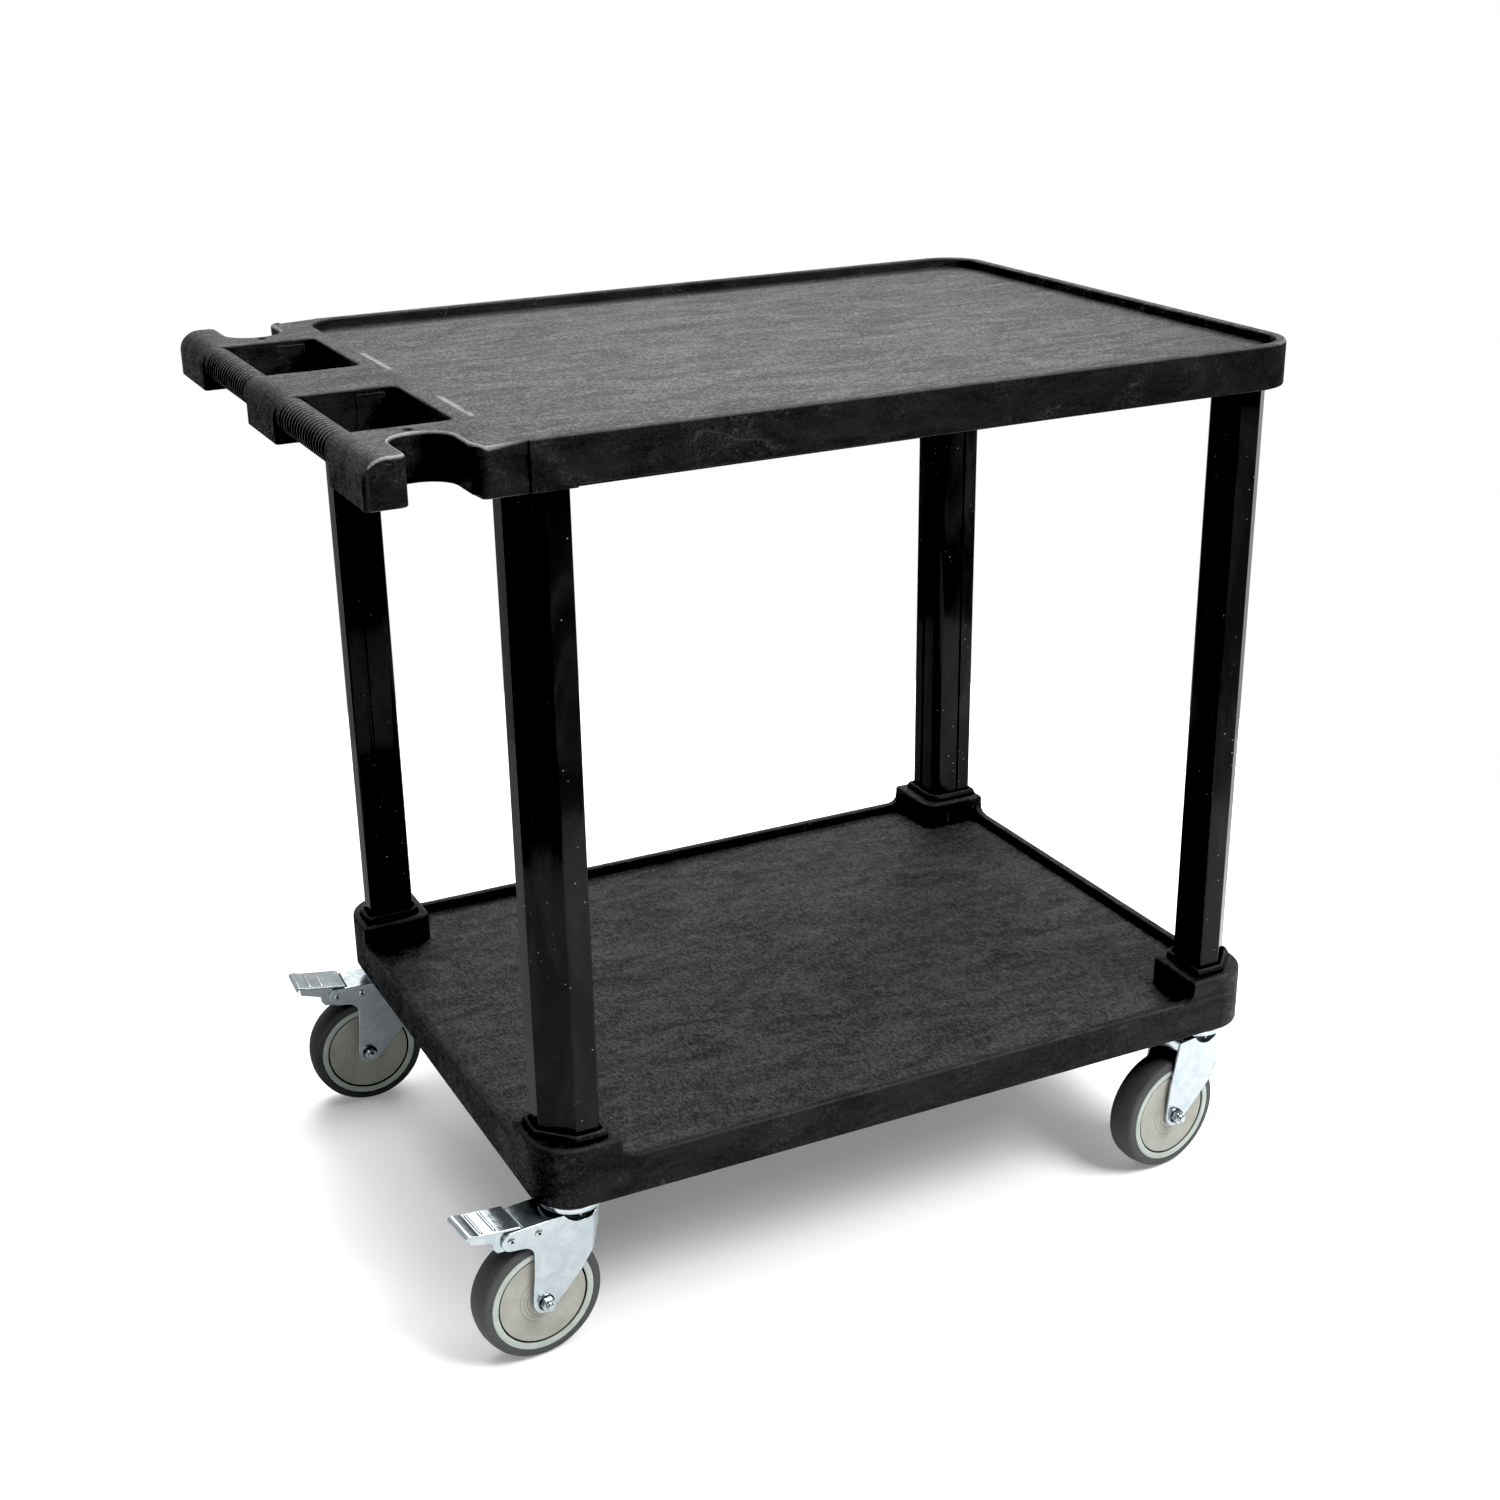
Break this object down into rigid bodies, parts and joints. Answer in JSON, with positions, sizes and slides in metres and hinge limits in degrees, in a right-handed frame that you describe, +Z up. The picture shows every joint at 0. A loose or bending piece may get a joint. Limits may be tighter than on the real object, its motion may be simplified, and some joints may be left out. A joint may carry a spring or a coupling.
{
  "type": "rolling utility cart",
  "caption": "Rolling utility cart: two lipped trays on square legs with a moulded push handle, swivel casters, and foot brakes at the handle end.",
  "frame": {"origin": "on the floor, under the middle of the cart's outline", "axes": "+X from the handle end to the front end, +Y to the left, +Z up"},
  "size_m": [0.912, 0.61, 0.88],
  "materials": {
    "shelf_plastic": "fine-grained structural foam, scuffed",
    "leg_plastic": "gloss extruded",
    "bar_aluminium": "mill",
    "socket_nylon": "moulded",
    "zinc_steel": "bright zinc plate",
    "bearing_steel": "ground",
    "guard_plastic": "satin",
    "rim_plastic": "satin",
    "tread_rubber": "matte, non-marking"
  },
  "bodies": {
    "root": {"top_shelf": "shelf_plastic", "bottom_shelf": "shelf_plastic", "top_bars": "bar_aluminium", "bottom_bars": "bar_aluminium", "caster_sockets": "socket_nylon", "leg_front_left": "leg_plastic", "leg_front_right": "leg_plastic", "leg_rear_left": "leg_plastic", "leg_rear_right": "leg_plastic", "stem_front_left": "zinc_steel", "cup_front_left": "zinc_steel", "stem_front_right": "zinc_steel", "cup_front_right": "zinc_steel", "stem_rear_left": "zinc_steel", "cup_rear_left": "zinc_steel", "stem_rear_right": "zinc_steel", "cup_rear_right": "zinc_steel"},
    "swivel_front_left": {"fork_front_left": "zinc_steel", "swivel_balls_front_left": "bearing_steel", "axle_bolt_front_left": "zinc_steel", "axle_nut_front_left": "zinc_steel", "axle_sleeve_front_left": "bearing_steel", "thread_guards_front_left": "guard_plastic"},
    "wheel_front_left": {"wheel_rim_front_left": "rim_plastic", "wheel_bearings_front_left": "bearing_steel", "tread_front_left": "tread_rubber"},
    "swivel_front_right": {"fork_front_right": "zinc_steel", "swivel_balls_front_right": "bearing_steel", "axle_bolt_front_right": "zinc_steel", "axle_nut_front_right": "zinc_steel", "axle_sleeve_front_right": "bearing_steel", "thread_guards_front_right": "guard_plastic"},
    "wheel_front_right": {"wheel_rim_front_right": "rim_plastic", "wheel_bearings_front_right": "bearing_steel", "tread_front_right": "tread_rubber"},
    "swivel_rear_left": {"fork_rear_left": "zinc_steel", "swivel_balls_rear_left": "bearing_steel", "axle_bolt_rear_left": "zinc_steel", "axle_nut_rear_left": "zinc_steel", "axle_sleeve_rear_left": "bearing_steel", "thread_guards_rear_left": "guard_plastic", "brake_rivets_rear_left": "zinc_steel"},
    "wheel_rear_left": {"wheel_rim_rear_left": "rim_plastic", "wheel_bearings_rear_left": "bearing_steel", "tread_rear_left": "tread_rubber"},
    "pedal_rear_left": {"brake_pedal_rear_left": "zinc_steel"},
    "shoe_rear_left": {"brake_shoe_rear_left": "zinc_steel"},
    "swivel_rear_right": {"fork_rear_right": "zinc_steel", "swivel_balls_rear_right": "bearing_steel", "axle_bolt_rear_right": "zinc_steel", "axle_nut_rear_right": "zinc_steel", "axle_sleeve_rear_right": "bearing_steel", "thread_guards_rear_right": "guard_plastic", "brake_rivets_rear_right": "zinc_steel"},
    "wheel_rear_right": {"wheel_rim_rear_right": "rim_plastic", "wheel_bearings_rear_right": "bearing_steel", "tread_rear_right": "tread_rubber"},
    "pedal_rear_right": {"brake_pedal_rear_right": "zinc_steel"},
    "shoe_rear_right": {"brake_shoe_rear_right": "zinc_steel"}
  },
  "joints": [
    {"name": "caster_swivel_front_left", "type": "hinge", "parent": "root", "child": "swivel_front_left", "pos_m": [0.414, 0.263, 0.14], "axis": [0, 0, 1], "continuous": true},
    {"name": "wheel_roll_front_left", "type": "hinge", "parent": "swivel_front_left", "child": "wheel_front_left", "pos_m": [0.3721, 0.26007, 0.0635], "axis": [-0.0698, 0.9976, 0], "continuous": true},
    {"name": "caster_swivel_front_right", "type": "hinge", "parent": "root", "child": "swivel_front_right", "pos_m": [0.414, -0.263, 0.14], "axis": [0, 0, 1], "continuous": true},
    {"name": "wheel_roll_front_right", "type": "hinge", "parent": "swivel_front_right", "child": "wheel_front_right", "pos_m": [0.37252, -0.26957, 0.0635], "axis": [-0.1564, 0.9877, 0], "continuous": true},
    {"name": "caster_swivel_rear_left", "type": "hinge", "parent": "root", "child": "swivel_rear_left", "pos_m": [-0.3015, 0.263, 0.14], "axis": [0, 0, 1], "continuous": true},
    {"name": "wheel_roll_rear_left", "type": "hinge", "parent": "swivel_rear_left", "child": "wheel_rear_left", "pos_m": [-0.34344, 0.2652, 0.0635], "axis": [0.0523, 0.9986, 0], "continuous": true},
    {"name": "brake_pedal_rear_left", "type": "hinge", "parent": "swivel_rear_left", "child": "pedal_rear_left", "pos_m": [-0.3744, 0.26682, 0.141], "axis": [-0.0523, -0.9986, 0], "range_deg": [0, 15]},
    {"name": "brake_shoe_rear_left", "type": "hinge", "parent": "swivel_rear_left", "child": "shoe_rear_left", "pos_m": [-0.34644, 0.26536, 0.14], "axis": [-0.0523, -0.9986, 0], "range_deg": [0, 8.3]},
    {"name": "caster_swivel_rear_right", "type": "hinge", "parent": "root", "child": "swivel_rear_right", "pos_m": [-0.3015, -0.263, 0.14], "axis": [0, 0, 1], "continuous": true},
    {"name": "wheel_roll_rear_right", "type": "hinge", "parent": "swivel_rear_right", "child": "wheel_rear_right", "pos_m": [-0.34331, -0.26703, 0.0635], "axis": [-0.0958, 0.9954, 0], "continuous": true},
    {"name": "brake_pedal_rear_right", "type": "hinge", "parent": "swivel_rear_right", "child": "pedal_rear_right", "pos_m": [-0.37416, -0.27, 0.141], "axis": [0.0958, -0.9954, 0], "range_deg": [0, 15]},
    {"name": "brake_shoe_rear_right", "type": "hinge", "parent": "swivel_rear_right", "child": "shoe_rear_right", "pos_m": [-0.34629, -0.26731, 0.14], "axis": [0.0958, -0.9954, 0], "range_deg": [0, 8.3]}
  ],
  "couplings": [
    {"joint": "brake_shoe_rear_left", "follows": "brake_pedal_rear_left", "ratio": 0.55},
    {"joint": "brake_shoe_rear_right", "follows": "brake_pedal_rear_right", "ratio": 0.55}
  ]
}
